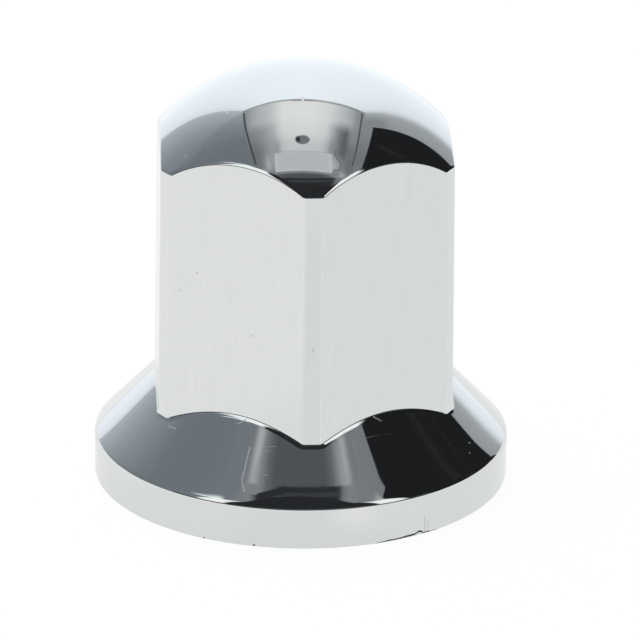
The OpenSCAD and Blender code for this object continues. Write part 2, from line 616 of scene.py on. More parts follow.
class NodeSheet:
    """Small helper that adds and links shader nodes."""

    def __init__(self, tree: NodeTree) -> None:
        """Clears the tree and keeps it."""
        self.tree = tree
        tree.nodes.clear()

    @classmethod
    def for_material(cls, name: str) -> tuple[Material, "NodeSheet"]:
        """Makes an empty material and gives it with its sheet.

        Args:
            name: Name of the material.

        Returns:
            The material and its sheet.
        """
        material = bpy.data.materials.new(name)
        material.use_nodes = True
        return material, cls(material.node_tree)

    def close(self, shader: Node, output: str = "ShaderNodeOutputMaterial") -> None:
        """Links the last shader to the output."""
        self.link(shader.outputs[0], self.add(output).inputs[0])

    def add(self, kind: str, **settings: object) -> Node:
        """Adds a node and sets its properties.

        Args:
            kind: Type of the node.
            settings: Properties of the node.

        Returns:
            The node.
        """
        node = self.tree.nodes.new(kind)
        for name, value in settings.items():
            setattr(node, name, value)
        return node

    def link(self, source: NodeSocket, target: NodeSocket) -> None:
        """Links one socket to another."""
        self.tree.links.new(source, target)

    def feed(self, socket: NodeSocket, value: object) -> None:
        """Links a socket to another, or sets it to a plain value.

        Args:
            socket: Socket that takes the value.
            value: Another socket or a plain value.
        """
        if isinstance(value, NodeSocket):
            self.link(value, socket)
        else:
            socket.default_value = value

    def math(self, operation: str, *values: object, clamp: bool = False) -> NodeSocket:
        """Adds a Math node and gives its result.

        Args:
            operation: What the node does.
            values: Its sockets or plain values.
            clamp: True to keep the result from 0 to 1.

        Returns:
            The result.
        """
        node = self.add("ShaderNodeMath", operation=operation, use_clamp=clamp)
        for socket, value in zip(node.inputs, values):
            self.feed(socket, value)
        return node.outputs[0]

    def vector(self, operation: str, *values: object, scale: object = None) -> Node:
        """Adds a Vector Math node.

        Args:
            operation: What the node does.
            values: Its sockets or plain values.
            scale: Factor of a scaling.

        Returns:
            The node.
        """
        node = self.add("ShaderNodeVectorMath", operation=operation)
        for socket, value in zip(node.inputs, values):
            self.feed(socket, value)
        if scale is not None:
            self.feed(node.inputs["Scale"], scale)
        return node

    def remap(self, value: NodeSocket, low: float, high: float, to_low: float, to_high: float,
              smooth: bool = False) -> NodeSocket:
        """Maps a range of values to another, clamped.

        Args:
            value: The value.
            low: Start of its range.
            high: End of its range.
            to_low: Result at the start.
            to_high: Result at the end.
            smooth: True to ease in and out.

        Returns:
            The result.
        """
        node = self.add("ShaderNodeMapRange", interpolation_type="SMOOTHSTEP" if smooth else "LINEAR")
        for name, number in (("From Min", low), ("From Max", high), ("To Min", to_low), ("To Max", to_high)):
            node.inputs[name].default_value = number
        self.link(value, node.inputs["Value"])
        return node.outputs["Result"]

    def place(self) -> NodeSocket:
        """Position on the object, in metres."""
        return self.add("ShaderNodeTexCoord").outputs["Object"]

    def noise(self, vector: NodeSocket, scale: float, detail: float = 2.0) -> NodeSocket:
        """Noise with a number of lumps for each metre.

        Args:
            vector: Coordinates.
            scale: Lumps for each metre.
            detail: Finer layers.

        Returns:
            The noise, from 0 to 1.
        """
        node = self.add("ShaderNodeTexNoise")
        self.link(vector, node.inputs["Vector"])
        node.inputs["Scale"].default_value = scale
        node.inputs["Detail"].default_value = detail
        return node.outputs["Fac"]

    def stretch(self, vector: NodeSocket, turn: tuple[float, float, float],
                scale: tuple[float, float, float]) -> NodeSocket:
        """Turns and stretches the coordinates.

        Args:
            vector: Coordinates.
            turn: Turn about each axis.
            scale: Factor on each axis.

        Returns:
            The new coordinates.
        """
        node = self.add("ShaderNodeMapping")
        self.link(vector, node.inputs["Vector"])
        node.inputs["Rotation"].default_value = turn
        node.inputs["Scale"].default_value = scale
        return node.outputs["Vector"]

    def dot(self, vector: NodeSocket, direction: tuple[float, float, float]) -> NodeSocket:
        """Measures a position along a direction."""
        return self.vector("DOT_PRODUCT", vector, direction).outputs["Value"]

    def bump(self, height: NodeSocket, distance: float) -> NodeSocket:
        """Normals of a surface with a fine relief.

        Args:
            height: Height, from 0 to 1.
            distance: Depth of the relief in metres.

        Returns:
            The normals.
        """
        node = self.add("ShaderNodeBump")
        node.inputs["Strength"].default_value = 1.0
        node.inputs["Distance"].default_value = distance
        self.link(height, node.inputs["Height"])
        return node.outputs["Normal"]

    def rays(self) -> tuple[NodeSocket, NodeSocket]:
        """Masks of the rays that see the white surroundings, and of the glossy ones among them.

        Returns:
            Both masks.
        """
        path = self.add("ShaderNodeLightPath")
        glossy = path.outputs["Is Glossy Ray"]
        seen = self.math("ADD", path.outputs["Is Camera Ray"], glossy)
        return self.math("ADD", seen, path.outputs["Is Transmission Ray"], clamp=True), glossy

    def ramp(self, share: NodeSocket, stops: Sequence[tuple[float, Colour]]) -> NodeSocket:
        """Runs through a row of colours.

        Args:
            share: How far along, from 0 to 1.
            stops: Places and their colours.

        Returns:
            The colour.
        """
        node = self.add("ShaderNodeValToRGB")
        elements = node.color_ramp.elements
        while len(elements) > 1:
            elements.remove(elements[-1])
        elements[0].position, elements[0].color = stops[0]
        for place, colour in stops[1:]:
            elements.new(place).color = colour
        self.link(share, node.inputs[0])
        return node.outputs["Color"]

    def mix(self, share: object, first: object, second: object, blend: str = "MIX") -> NodeSocket:
        """Mixes or multiplies two colours.

        Args:
            share: Share of the second colour.
            first: First colour.
            second: Second colour.
            blend: How they are mixed.

        Returns:
            The colour.
        """
        node = self.add("ShaderNodeMix", data_type="RGBA", blend_type=blend)
        for socket, value in zip((node.inputs["Factor"], *node.inputs[6:8]), (share, first, second)):
            self.feed(socket, value)
        return node.outputs[2]


class MarkTone(Enum):
    """How a mark shows in the polish: lighter as a scratch, partly by a painted glint, or darker as a crack,
    and how much.
    """

    BRIGHT = ("scratch", 1.0)
    FAINT = ("scratch", 0.45)
    DARK = ("crack", 1.0)
    HAIRLINE = ("crack", 0.3)


@dataclass(frozen=True)
class Mark:
    """Short scratch, or a speck where both ends are the same, in millimetres."""

    start: tuple[float, float, float]
    end: tuple[float, float, float]
    width: float = 0.1
    tone: MarkTone = MarkTone.BRIGHT
    full: float = 0.55
    gone: float = 1.25

    def mask(self, sheet: NodeSheet, place: NodeSocket) -> NodeSocket:
        """Draws the mark from the distance to its line.

        Args:
            sheet: The material's nodes.
            place: Position on the object.

        Returns:
            One on the mark, zero off it.
        """
        start = tuple(value * MM for value in self.start)
        run = tuple((b - a) * MM for a, b in zip(self.start, self.end))
        length = sum(value * value for value in run)
        offset = sheet.vector("SUBTRACT", place, start).outputs["Vector"]
        if length > 0:
            along = sheet.dot(offset, tuple(value / length for value in run))
            along = sheet.math("MULTIPLY", along, 1.0, clamp=True)
            onto = sheet.vector("SCALE", run, scale=along).outputs["Vector"]
            offset = sheet.vector("SUBTRACT", offset, onto).outputs["Vector"]
        far = sheet.vector("LENGTH", offset).outputs["Value"]
        half = self.width / 2 * MM
        mask = sheet.remap(far, self.full * half, self.gone * half, 1, 0)
        strength = self.tone.value[1]
        return mask if strength == 1 else sheet.math("MULTIPLY", mask, strength)


def specks(width: float, tone: MarkTone, *places: tuple[float, float, float]) -> tuple[Mark, ...]:
    """Round marks of one width and tone."""
    return tuple(Mark(place, place, width, tone) for place in places)


FLANGE_AND_CROWN_MARKS = (
    Mark((-0.75, -7.89, 49.26), (-0.68, -8.68, 48.96), 0.22),
    Mark((-9.58, -7.20, 47.34), (-9.20, -7.89, 47.25), 0.18),
    Mark((-13.94, -3.08, 45.78), (-12.80, -3.87, 46.44), 0.19, MarkTone.FAINT),
    Mark((11.0, -4.57, 47.38), (12.09, -4.32, 46.80), 0.16, MarkTone.FAINT),
    Mark((-16.45, -11.49, 10.07), (-15.54, -12.59, 10.14), 0.18),
    Mark((-8.55, -16.01, 12.02), (-7.28, -15.97, 12.63), 0.18),
    Mark((-7.13, -18.57, 10.24), (-7.96, -20.81, 7.82), 0.19),
    Mark((-7.96, -20.81, 7.82), (-8.19, -21.26, 7.30), 0.22),
    Mark((-8.19, -21.26, 7.30), (-7.97, -22.46, 6.23), 0.20),
    Mark((-5.06, -19.07, 10.42), (-4.14, -19.23, 10.47), 0.11, MarkTone.FAINT),
    Mark((-5.31, -19.42, 10.00), (-4.62, -19.55, 10.05), 0.11, MarkTone.FAINT),
    Mark((-5.67, -21.50, 7.86), (-5.18, -21.59, 7.89), 0.14),
    Mark((7.30, -15.93, 12.65), (8.31, -15.99, 12.14), 0.18),
    Mark((4.89, -18.71, 10.80), (7.31, -17.76, 10.94), 0.11, MarkTone.FAINT),
    Mark((7.31, -17.76, 10.94), (9.54, -16.83, 10.80), 0.11, MarkTone.FAINT),
    Mark((14.63, -12.65, 10.80), (18.68, -15.65, 5.69), 0.09, MarkTone.FAINT),
    Mark((13.11, -21.29, 2.20), (13.15, -21.26, 0.33), 0.18, MarkTone.HAIRLINE),
    Mark((13.55, -21.00, 1.70), (13.58, -20.98, 0.33), 0.12, MarkTone.HAIRLINE),
    *specks(0.46, MarkTone.BRIGHT, (-14.15, -10.10, 42.88)),
    *specks(0.27, MarkTone.BRIGHT, (19.23, -11.97, 7.44), (19.10, -13.36, 6.77)),
    *specks(0.22, MarkTone.FAINT, (12.40, -17.69, 8.51), (11.06, -17.07, 9.79)),
    *specks(0.30, MarkTone.DARK, (-12.58, -21.61, 0.10), (-6.89, -24.03, 0.20)),
)
COLUMN_MARKS = (
    Mark((0.00, -19.36, 22.58), (0.06, -19.36, 22.20), 0.22, MarkTone.HAIRLINE),
    *specks(0.30, MarkTone.HAIRLINE, (-14.95, -11.31, 27.01), (-13.01, -12.39, 29.48)),
    *specks(0.30, MarkTone.HAIRLINE, (-6.70, -16.14, 23.03)),
)
Dressing = tuple[NodeSocket, NodeSocket, NodeSocket]


@dataclass(frozen=True)
class Finish:
    """Finish of a surface of the cover."""

    name: str = "plain_steel"
    metallic: float = 1.0

    def build(self) -> Material:
        """Builds the material.

        Returns:
            The material.
        """
        material, sheet = NodeSheet.for_material(self.name)
        shader = sheet.add("ShaderNodeBsdfPrincipled")
        shader.inputs["Metallic"].default_value = self.metallic
        inputs = (shader.inputs[name] for name in ("Base Color", "Roughness", "Normal"))
        for socket, value in zip(inputs, self.dress(sheet, sheet.place())):
            sheet.link(value, socket)
        sheet.close(shader)
        return material

    def dress(self, sheet: NodeSheet, place: NodeSocket) -> Dressing:
        """Makes the colour, roughness and normal that the shader takes."""
        raise NotImplementedError


@dataclass(frozen=True)
class PolishedPlate(Finish):
    """Mirror polished and plated steel, with a few scratches whose lighter colour is partly a painted glint.
    """

    name: str = "mirror_polished_plate"
    marks: tuple[Mark, ...] = FLANGE_AND_CROWN_MARKS
    bright: Colour = (0.73, 0.755, 0.74, 1)
    dull: Colour = (0.72, 0.745, 0.73, 1)
    # Colour of the scratches: lighter than the plate, a painted glint laid on the real marks.
    scratch_and_glint: Colour = (0.93, 0.94, 0.95, 1)
    dark: Colour = (0.16, 0.155, 0.14, 1)
    roughness: float = 0.03
    rough_spread: float = 0.4
    scratch_roughness: float = 0.5
    cloud_scale: float = 260.0
    cloud_range: tuple[float, float] = (0.3, 0.7)
    ripple: float = 0.0015 * MM
    ripple_scale: float = 420.0

    def dress(self, sheet: NodeSheet, place: NodeSocket) -> Dressing:
        """Makes the plate's colour, roughness and slight ripple, with the marks in them.

        Args:
            sheet: The material's nodes.
            place: Position on the object.

        Returns:
            Colour, roughness and normal.
        """
        cloud = sheet.noise(place, self.cloud_scale, 3)
        colour = self.tone(sheet, place, sheet.mix(cloud, self.bright, self.dull))
        least, most = self.roughness * (1 - self.rough_spread), self.roughness * (1 + self.rough_spread)
        rough = sheet.remap(cloud, *self.cloud_range, least, most)
        scratches, cracks = self.gather(sheet, place, "scratch"), self.gather(sheet, place, "crack")
        # Scratches are rougher and take the lighter colour, which paints part of their glint.
        if scratches:
            colour = sheet.mix(scratches, colour, self.scratch_and_glint)
            rough = sheet.math("MAXIMUM", rough, sheet.math("MULTIPLY", scratches, self.scratch_roughness))
        if cracks:
            colour = sheet.mix(cracks, colour, self.dark)
        return colour, rough, sheet.bump(sheet.noise(place, self.ripple_scale, 2), self.ripple)

    def gather(self, sheet: NodeSheet, place: NodeSocket, kind: str) -> NodeSocket | None:
        """Joins the marks of one kind into one mask.

        Args:
            sheet: The material's nodes.
            place: Position on the object.
            kind: Kind of mark to take.

        Returns:
            The mask, or None where there are no such marks.
        """
        joined = None
        for mark in self.marks:
            if mark.tone.value[0] == kind:
                mask = mark.mask(sheet, place)
                joined = mask if joined is None else sheet.math("MAXIMUM", joined, mask)
        return joined

    def tone(self, sheet: NodeSheet, place: NodeSocket, colour: NodeSocket) -> NodeSocket:
        """Leaves the colour as it is; finishes with lines in the polish add them here."""
        return colour


@dataclass(frozen=True)
class PolishedFlats(PolishedPlate):
    """The column's flats, which still show the lines of the polishing wheel."""

    name: str = "wheel_polished_flats"
    marks: tuple[Mark, ...] = COLUMN_MARKS
    roughness: float = 0.05
    line_depth: float = 0.055
    mottle_depth: float = 0.045
    line_turn: float = math.radians(38)
    line_scale: tuple[float, float, float] = (2400.0, 60.0, 160.0)
    mottle_scale: tuple[float, float, float] = (900.0, 900.0, 220.0)
    patch_scale: float = 130.0
    patch_range: tuple[float, float] = (0.48, 0.66)
    ring_turns: float = 6400.0
    ring_reach: tuple[float, float] = (2 * MM, 7 * MM)
    ring_depth: float = 0.13
    wheel_centre: tuple[float, float, float] = (3.4 * MM, -17.9 * MM, 29.5 * MM)

    def tone(self, sheet: NodeSheet, place: NodeSocket, colour: NodeSocket) -> NodeSocket:
        """Adds slanting lines, rings of the wheel and a faint mottle.

        Args:
            sheet: The material's nodes.
            place: Position on the object.
            colour: Colour of the plate.

        Returns:
            The colour with the lines.
        """
        slanted = sheet.stretch(place, (0, self.line_turn, 0), self.line_scale)
        lines = sheet.math("SUBTRACT", sheet.noise(slanted, 1.0, 1), 0.5)
        patchy = sheet.remap(sheet.noise(place, self.patch_scale, 1), *self.patch_range, 0, 1, True)
        lines = sheet.math("MULTIPLY", lines, patchy)
        offset = sheet.vector("SUBTRACT", place, self.wheel_centre).outputs["Vector"]
        reach = sheet.vector("LENGTH", offset).outputs["Value"]
        rings = sheet.math("SINE", sheet.math("MULTIPLY", reach, self.ring_turns))
        near = sheet.remap(reach, *self.ring_reach, self.ring_depth, 0, True)
        lines = sheet.math("MULTIPLY_ADD", rings, near, lines)
        mottle = sheet.noise(sheet.stretch(place, (0, 0, 0), self.mottle_scale), 1.0, 3)
        mottle = sheet.math("SUBTRACT", mottle, 0.5)
        shade = sheet.math("MULTIPLY_ADD", mottle, self.mottle_depth, 1.0)
        shade = sheet.math("MULTIPLY_ADD", lines, self.line_depth, shade)
        grey = sheet.add("ShaderNodeCombineColor")
        for channel in range(3):
            sheet.link(shade, grey.inputs[channel])
        return sheet.mix(1.0, colour, grey.outputs[0], "MULTIPLY")


@dataclass(frozen=True)
class DrawnInside(Finish):
    """Unpolished inside of the drawn sheet, with the marks of the press."""

    name: str = "drawn_inside"
    bright: Colour = (0.50, 0.50, 0.49, 1)
    dull: Colour = (0.38, 0.38, 0.37, 1)
    drawn_scale: tuple[float, float, float] = (2600.0, 2600.0, 90.0)
    cloud_scale: float = 180.0
    tone_range: tuple[float, float] = (0.35, 0.65)
    roughness: tuple[float, float] = (0.42, 0.3)
    relief: float = 0.01 * MM

    def dress(self, sheet: NodeSheet, place: NodeSocket) -> Dressing:
        """Makes the upright drawing marks over a cloudy grey.

        Args:
            sheet: The material's nodes.
            place: Position on the object.

        Returns:
            Colour, roughness and normal.
        """
        drawn = sheet.noise(sheet.stretch(place, (0, 0, 0), self.drawn_scale), 1.0, 3)
        cloud = sheet.math("MULTIPLY", sheet.noise(place, self.cloud_scale, 4), 0.5)
        tone = sheet.remap(sheet.math("MULTIPLY_ADD", drawn, 0.5, cloud), *self.tone_range, 0, 1, True)
        rough = sheet.remap(tone, 0, 1, *self.roughness)
        return sheet.mix(tone, self.dull, self.bright), rough, sheet.bump(drawn, self.relief)


@dataclass(frozen=True)
class TornSteel(Finish):
    """Torn face of the sheet in the broken edge: grey grain painted dark for the shade inside the crack, with
    more painted shade in its hollows.
    """

    name: str = "torn_steel_painted_shade"
    metallic: float = 0.3
    # Both colours are painted shade: the torn face is made dark to stand for the shadow inside the crack.
    grain: Colour = (0.10, 0.095, 0.085, 1)
    crack_shade: Colour = (0.025, 0.022, 0.018, 1)
    grain_scale: float = 5200.0
    grain_range: tuple[float, float] = (0.4, 0.62)
    rough_range: tuple[float, float] = (0.3, 0.7)
    roughness: tuple[float, float] = (0.85, 0.6)
    relief: float = 0.03 * MM

    def dress(self, sheet: NodeSheet, place: NodeSocket) -> Dressing:
        """Makes the grain, with painted shade that is darker in its hollows, and rougher there.

        Args:
            sheet: The material's nodes.
            place: Position on the object.

        Returns:
            Colour, roughness and normal.
        """
        grain = sheet.noise(place, self.grain_scale, 4)
        colour = sheet.mix(sheet.remap(grain, *self.grain_range, 0, 1), self.crack_shade, self.grain)
        rough = sheet.remap(grain, *self.rough_range, *self.roughness)
        return colour, rough, sheet.bump(grain, self.relief)


# ---------------------------------------------------------------------------- studio

Grey = float
Stops = tuple[tuple[float, Grey], ...]
PLAIN = (1.0, 1.0, 1.0, 1.0)
LESS_RED = 0.07
MORE_BLUE = 0.12


def cool(grey: Grey) -> Colour:
    """Light of a grey cloth: the darker it is, the bluer."""
    shade = max(0.0, 1.0 - grey)
    return (grey * (1 - LESS_RED * shade), grey, grey * (1 + MORE_BLUE * shade), 1.0)


class PatchShape(Enum):
    """Outlines of a patch on a cloth."""

    BOX = "box"
    OVAL = "oval"


class TentAxis(Enum):
    """Directions in the tent, as seen by the camera."""

    ACROSS = (1.0, 0.0, 0.0)
    AWAY = (0.0, 1.0, 0.0)
    UP = (0.0, 0.0, 1.0)


def level_corners(left: float, right: float, front: float, back: float,
                  height: float) -> tuple[tuple[float, float, float], ...]:
    """Corners of a level panel."""
    return ((left, front, height), (right, front, height), (right, back, height), (left, back, height))


def hang(name: str, corners: Sequence[tuple[float, float, float]], material: Material) -> Object:
    """Makes a flat panel, turned to face the camera.

    Args:
        name: Name of the panel.
        corners: Its four corners, before the turn.
        material: Its material.

    Returns:
        The panel, linked to the scene.
    """
    mesh = bpy.data.meshes.new(name)
    mesh.from_pydata(list(corners), [], [(0, 1, 2, 3)])
    mesh.materials.append(material)
    panel = bpy.data.objects.new(name, mesh)
    panel.matrix_world = Matrix.Rotation(Viewpoint.turn, 4, "Z")
    bpy.context.scene.collection.objects.link(panel)
    return panel


@dataclass(frozen=True)
class Patch:
    """Spot, box or line of another tone on a cloth."""

    tone: Grey
    centre: tuple[float, float]
    half: tuple[float, float]
    soft: tuple[float, float] = (0.003, 0.003)
    turn: float = 0.0
    strength: float = 1.0
    shape: PatchShape = PatchShape.BOX

    def lay(self, sheet: NodeSheet, colour: NodeSocket, across: NodeSocket, along: NodeSocket) -> NodeSocket:
        """Lays the patch over a colour."""
        return sheet.mix(self.mask(sheet, across, along), colour, cool(self.tone))

    def mask(self, sheet: NodeSheet, across: NodeSocket, along: NodeSocket) -> NodeSocket:
        """Draws the patch's outline.

        Args:
            sheet: The material's nodes.
            across: Place across the cloth.
            along: Place along the cloth.

        Returns:
            Its strength inside the patch, zero outside it.
        """
        u = sheet.math("SUBTRACT", across, self.centre[0])
        v = sheet.math("SUBTRACT", along, self.centre[1])
        if self.turn:
            cosine, sine = math.cos(self.turn), math.sin(self.turn)
            u, v = (
                sheet.math("MULTIPLY_ADD", u, cosine, sheet.math("MULTIPLY", v, sine)),
                sheet.math("MULTIPLY_ADD", v, cosine, sheet.math("MULTIPLY", u, -sine)),
            )
        if self.shape is PatchShape.OVAL:
            u, v = sheet.math("DIVIDE", u, self.half[0]), sheet.math("DIVIDE", v, self.half[1])
            far = sheet.math("SQRT", sheet.math("MULTIPLY_ADD", u, u, sheet.math("MULTIPLY", v, v)))
            edge = self.soft[0] / self.half[0]
            return sheet.remap(far, 1 - edge, 1 + edge, self.strength, 0, True)
        masks = [
            sheet.remap(sheet.math("ABSOLUTE", value), half - soft, half + soft, 1, 0, True)
            for value, half, soft in zip((u, v), self.half, self.soft)
        ]
        return sheet.math("MULTIPLY", sheet.math("MULTIPLY", *masks), self.strength)


@dataclass(frozen=True)
class Course:
    """Tones across a cloth, at one place along it."""

    place: float
    stops: Stops


@dataclass(frozen=True)
class Cloth:
    """One flat side of the light tent, seen only in polished metal."""

    name: str
    corners: tuple[tuple[float, float, float], ...]
    across: TentAxis
    along: TentAxis
    courses: tuple[Course, ...]
    patches: tuple[Patch, ...] = ()
    tint: Colour = PLAIN
    bow: float = 0.0

    def tone(self, sheet: NodeSheet, across: NodeSocket, along: NodeSocket) -> NodeSocket:
        """Draws the courses of tones, each running softly into the next.

        Args:
            sheet: The material's nodes.
            across: Place across the cloth.
            along: Place along the cloth.

        Returns:
            The colour.
        """
        if self.bow:
            along = sheet.math("MULTIPLY_ADD", sheet.math("MULTIPLY", across, across), -self.bow, along)
        colour, before = None, None
        for course in self.courses:
            low, high = course.stops[0][0], course.stops[-1][0]
            stops = [((at - low) / (high - low), cool(tone)) for at, tone in course.stops]
            ramp = sheet.ramp(sheet.remap(across, low, high, 0, 1), stops)
            if before is None:
                colour = ramp
            else:
                share = sheet.remap(along, before, course.place, 0, 1, True)
                colour = sheet.mix(share, colour, ramp)
            before = course.place
        return colour

    def build(self) -> Material:
        """Builds the cloth's glowing material.

        Returns:
            The material.
        """
        material, sheet = NodeSheet.for_material(self.name)
        place = sheet.place()
        across, along = sheet.dot(place, self.across.value), sheet.dot(place, self.along.value)
        colour = self.tone(sheet, across, along)
        for patch in self.patches:
            colour = patch.lay(sheet, colour, across, along)
        if self.tint != PLAIN:
            colour = sheet.mix(1.0, colour, self.tint, "MULTIPLY")
        glow = sheet.add("ShaderNodeEmission")
        sheet.link(colour, glow.inputs["Color"])
        sheet.close(glow)
        material.cycles.emission_sampling = "NONE"
        return material


@dataclass(frozen=True)
class Viewpoint:
    """Where the camera stands and how it is turned."""

    turn: float = math.radians(-4.0961)
    elevation: float = math.radians(20.8546)
    roll: float = math.radians(0.6446)
    distance: float = 0.42978
    lens: float = 201.4
    sensor: float = 36.0
    aim_aside: float = 2.1728 * MM
    aim_height: float = 18.7805 * MM
    clip: tuple[float, float] = (0.01, 20.0)

    def build(self) -> Object:
        """Makes the camera and sets it as the scene's own.

        Returns:
            The camera object.
        """
        data = bpy.data.cameras.new("view")
        data.lens = self.lens
        data.sensor_width = self.sensor
        data.clip_start, data.clip_end = self.clip
        camera = bpy.data.objects.new("view", data)
        bpy.context.scene.collection.objects.link(camera)
        aside = Vector((math.cos(self.turn), math.sin(self.turn), 0))
        back = Vector((math.sin(self.turn), -math.cos(self.turn), 0))
        outward = math.cos(self.elevation) * back + math.sin(self.elevation) * Vector((0, 0, 1))
        upward = outward.cross(aside)
        right = math.cos(self.roll) * aside + math.sin(self.roll) * upward
        top = math.cos(self.roll) * upward - math.sin(self.roll) * aside
        place = self.aim_aside * aside + Vector((0, 0, self.aim_height)) + self.distance * outward
        turn = Matrix((right, top, outward)).transposed().to_4x4()
        camera.matrix_world = Matrix.Translation(place) @ turn
        bpy.context.scene.camera = camera
        return camera


@dataclass(frozen=True)
class LightTent:
    """Small tent of pale cloth with an open front and an open side, turned to face the camera."""

    left: float = -0.28
    right: float = 0.28
    back: float = 0.33
    front: float = -0.25
    top: float = 0.60
    front_top: float = 0.45
    room_top: float = 1.37
    post: Grey = 1.15
    hem: Grey = 0.09
    opening: Grey = 0.016
    room_dark: Grey = 0.034
    room_thin: Grey = 0.062
    room_lit: Grey = 0.28
    room_fade: float = 0.04
    room_near: float = 0.17
    room_far: float = 0.46

    def ceiling(self) -> Cloth:
        """Ceiling with its seams, its round hole, a flat lamp and the lamp's cable.

        Returns:
            The cloth.
        """
        deep = Course(-0.245, (
            (-0.28, 0.235), (-0.262, 0.24), (-0.25, 0.29), (-0.235, 0.45), (-0.2195, 0.53), (-0.205, 0.45),
            (-0.19, 0.3), (-0.17, 0.26), (0.17, 0.26), (0.195, 0.28), (0.212, 0.42), (0.226, 0.47),
            (0.24, 0.38), (0.255, 0.26), (0.28, 0.24),
        ))
        front = Course(-0.18, (
            (-0.28, 0.21), (-0.23, 0.23), (-0.205, 0.33), (-0.188, 0.5), (-0.165, 0.42), (-0.15, 0.42),
            (0.16, 0.55), (0.185, 0.42), (0.21, 0.28), (0.24, 0.2), (0.28, 0.21),
        ))
        near = Course(-0.07, (
            (-0.28, 0.21), (-0.24, 0.205), (-0.205, 0.26), (-0.179, 0.35), (-0.153, 0.41), (-0.128, 0.39),
            (-0.118, 0.45), (-0.1, 0.64), (-0.063, 0.725), (0.034, 0.705), (0.084, 0.685), (0.108, 0.57),
            (0.133, 0.345), (0.159, 0.28), (0.184, 0.165), (0.208, 0.15), (0.22, 0.21), (0.28, 0.24),
        ))
        middle = Course(0.06, (
            (-0.28, 0.26), (-0.262, 0.275), (-0.241, 0.295), (-0.216, 0.325), (-0.19, 0.37), (-0.167, 0.44),
            (-0.143, 0.52), (-0.12, 0.69), (-0.096, 0.84), (-0.06, 0.875), (0.03, 0.89), (0.076, 0.85),
            (0.099, 0.82), (0.122, 0.61), (0.145, 0.40), (0.169, 0.235), (0.193, 0.155), (0.205, 0.175),
            (0.212, 0.255), (0.2325, 0.32), (0.28, 0.28),
        ))
        rear = Course(0.17, (
            (-0.28, 0.3), (-0.253, 0.4), (-0.2327, 0.48), (-0.208, 0.54), (-0.184, 0.59), (-0.16, 0.64),
            (-0.137, 0.71), (-0.115, 0.83), (-0.093, 0.925), (-0.058, 0.935), (0.028, 0.945), (0.07, 0.896),
            (0.092, 0.886), (0.114, 0.831), (0.137, 0.752), (0.16, 0.66), (0.183, 0.6), (0.207, 0.52),
            (0.221, 0.47), (0.236, 0.36), (0.28, 0.32),
        ))
        seam, soft = 0.05, (0.0035, 0.006)
        patches = (
            Patch(seam, (-0.2735, 0.22), (0.0045, 0.083), soft, 0.0125, 0.95),
            Patch(seam, (-0.26775, 0.066), (0.0045, 0.077), soft, 0.064, 0.95),
            Patch(seam, (-0.2605, -0.0765), (0.0045, 0.071), soft, 0.0365, 0.95),
            Patch(seam, (0.2618, 0.225), (0.0040, 0.081), soft, 0.0, 0.9),
            Patch(seam, (0.2638, 0.056), (0.0040, 0.092), soft, 0.0244, 0.9),
            Patch(seam, (0.2670, -0.09), (0.0035, 0.057), soft, 0.018, 0.8),
            Patch(0.3, (-0.11, 0.321), (0.150, 0.008), (0.01, 0.006), -0.07, 0.85),
            Patch(0.3, (0.10, 0.311), (0.150, 0.008), (0.01, 0.006), 0.02, 0.85),
            Patch(0.50, (0.0, -0.099), (0.145, 0.003), (0.004, 0.003), -0.01, 0.8),
            Patch(0.60, (0.0, -0.168), (0.140, 0.064)),
            Patch(0.64, (-0.1395, -0.168), (0.0095, 0.064), (0.003, 0.003), -0.063),
            Patch(0.64, (0.1435, -0.168), (0.0105, 0.064), (0.003, 0.003), 0.157),
            Patch(0.66, (0.003, -0.226), (0.152, 0.007), (0.003, 0.005), 0.0, 0.7),
            Patch(0.66, (0.0, -0.107), (0.142, 0.004), (0.003, 0.003), 0.0, 0.6),
            Patch(0.10, (0.1605, -0.09), (0.003, 0.018), (0.003, 0.003), 0.12, 0.8),
            Patch(0.10, (0.183, -0.131), (0.003, 0.031), (0.003, 0.003), 0.70, 0.8),
            Patch(0.10, (0.203, -0.176), (0.003, 0.022), (0.003, 0.003), -0.02, 0.8),
            Patch(0.08, (0.184, -0.206), (0.020, 0.003), (0.003, 0.003), 0.44, 0.8),
            Patch(0.21, (-0.005, -0.022), (0.0335, 0.031), (0.004, 0.004), 0.0, 1.0, PatchShape.OVAL),
            Patch(0.02, (-0.026, -0.018), (0.010, 0.019), (0.005, 0.004), 0.2, 0.95, PatchShape.OVAL),
        )
        corners = level_corners(self.left, self.right, self.front, self.back, self.top)
        courses = (deep, front, near, middle, rear)
        return Cloth("tent_ceiling", corners, TentAxis.ACROSS, TentAxis.AWAY, courses, patches)

    @staticmethod
    def wall(name: str, foot: tuple[tuple[float, float], tuple[float, float]], top: float,
             courses: tuple[Course, ...], patches: tuple[Patch, ...] = (), tint: Colour = PLAIN) -> Cloth:
        """Upright cloth over a straight foot line.

        Args:
            name: Name of the cloth.
            foot: Both ends of its foot line.
            top: Height of its upper edge.
            courses: Its courses of tones.
            patches: Its patches.
            tint: Colour that multiplies its tones.

        Returns:
            The cloth.
        """
        start, end = foot
        corners = ((*start, 0), (*end, 0), (*end, top), (*start, top))
        across = TentAxis.AWAY if start[0] == end[0] else TentAxis.ACROSS
        return Cloth(name, corners, across, TentAxis.UP, courses, patches, tint)

